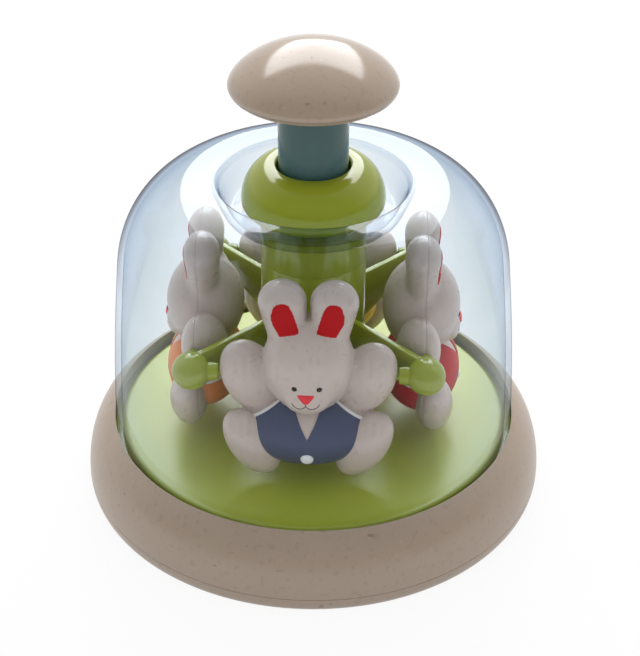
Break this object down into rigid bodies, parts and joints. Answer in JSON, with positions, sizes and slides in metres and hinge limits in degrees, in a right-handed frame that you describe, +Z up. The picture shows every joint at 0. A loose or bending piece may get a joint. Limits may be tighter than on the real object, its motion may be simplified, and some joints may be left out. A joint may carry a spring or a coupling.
{
  "type": "carousel spinner toy",
  "caption": "Push-knob spinner toy: a clear dome on a round base, with a carousel of hanging rabbits that turns when the knob is pressed.",
  "frame": {"origin": "centre of the flat underside, on the spin axis", "axes": "+Z up along the spin axis, the blue rabbit faces -Y at rest"},
  "size_m": [0.185, 0.185, 0.186],
  "materials": {
    "natural_fibre_plastic": "satin tan plastic with fine darker fibre specks",
    "lime_plastic": "glossy olive green moulding",
    "teal_plastic": "smooth satin teal moulding",
    "clear_plastic": "clear polished shell with a pale blue tint",
    "rabbit_plastic": "satin off-white plastic with fine specks",
    "white_plastic": "plain natural white, low friction",
    "steel": "plain bright steel",
    "paint_blue": "satin slate blue paint",
    "paint_orange": "satin orange paint",
    "paint_yellow": "satin yellow paint",
    "paint_red": "satin red paint",
    "paint_coral": "satin coral paint",
    "paint_black": "satin black paint"
  },
  "bodies": {
    "base": {"base_ring": "natural_fibre_plastic", "bottom_cover": "natural_fibre_plastic", "base_screw_1": "steel", "base_screw_2": "steel", "base_screw_3": "steel", "base_screw_4": "steel", "floor_disc": "lime_plastic", "pivot_pin": "steel", "thrust_washer": "white_plastic", "clear_dome": "clear_plastic", "hub_cap": "lime_plastic", "guide_sleeve": "lime_plastic"},
    "plunger": {"knob_cap": "natural_fibre_plastic", "knob_underside": "natural_fibre_plastic", "knob_screw": "steel", "plunger_tube": "teal_plastic", "drive_nut": "white_plastic"},
    "spindle": {"drive_rod": "white_plastic", "ratchet_wheel": "white_plastic", "return_spring": "steel"},
    "carousel": {"carousel_column": "lime_plastic", "carousel_arm_1": "lime_plastic", "carousel_arm_2": "lime_plastic", "carousel_arm_3": "lime_plastic", "carousel_arm_4": "lime_plastic", "pawl_ring": "white_plastic", "pivot_clip": "steel"},
    "rabbit_blue": {"rabbit_blue_front_shell": "rabbit_plastic", "rabbit_blue_back_shell": "rabbit_plastic"},
    "rabbit_orange": {"rabbit_orange_front_shell": "rabbit_plastic", "rabbit_orange_back_shell": "rabbit_plastic"},
    "rabbit_yellow": {"rabbit_yellow_front_shell": "rabbit_plastic", "rabbit_yellow_back_shell": "rabbit_plastic"},
    "rabbit_red": {"rabbit_red_front_shell": "rabbit_plastic", "rabbit_red_back_shell": "rabbit_plastic"}
  },
  "joints": [
    {"name": "knob_press", "type": "slide", "parent": "base", "child": "plunger", "axis": [0, 0, 1], "range_m": [-0.02, 0], "stiffness_N_per_m": 300, "springref_m": 0.01, "deforming": ["return_spring"]},
    {"name": "spindle_spin", "type": "hinge", "parent": "base", "child": "spindle", "pos_m": [0, 0, 0.05], "axis": [0, 0, 1], "range_deg": [-1, 181]},
    {"name": "carousel_spin", "type": "hinge", "parent": "spindle", "child": "carousel", "pos_m": [0, 0, 0.03], "axis": [0, 0, 1], "continuous": true},
    {"name": "rabbit_blue_swing", "type": "hinge", "parent": "carousel", "child": "rabbit_blue", "pos_m": [0, -0.04345, 0.0738], "axis": [1, 0, 0], "range_deg": [-30, 15]},
    {"name": "rabbit_orange_swing", "type": "hinge", "parent": "carousel", "child": "rabbit_orange", "pos_m": [-0.04345, 0, 0.0738], "axis": [0, -1, 0], "range_deg": [-30, 15]},
    {"name": "rabbit_yellow_swing", "type": "hinge", "parent": "carousel", "child": "rabbit_yellow", "pos_m": [0, 0.04345, 0.0738], "axis": [-1, 0, 0], "range_deg": [-30, 15]},
    {"name": "rabbit_red_swing", "type": "hinge", "parent": "carousel", "child": "rabbit_red", "pos_m": [0.04345, 0, 0.0738], "axis": [0, 1, 0], "range_deg": [-30, 15]}
  ],
  "couplings": [
    {"joint": "spindle_spin", "follows": "knob_press", "rad_per_m": -157.08}
  ]
}
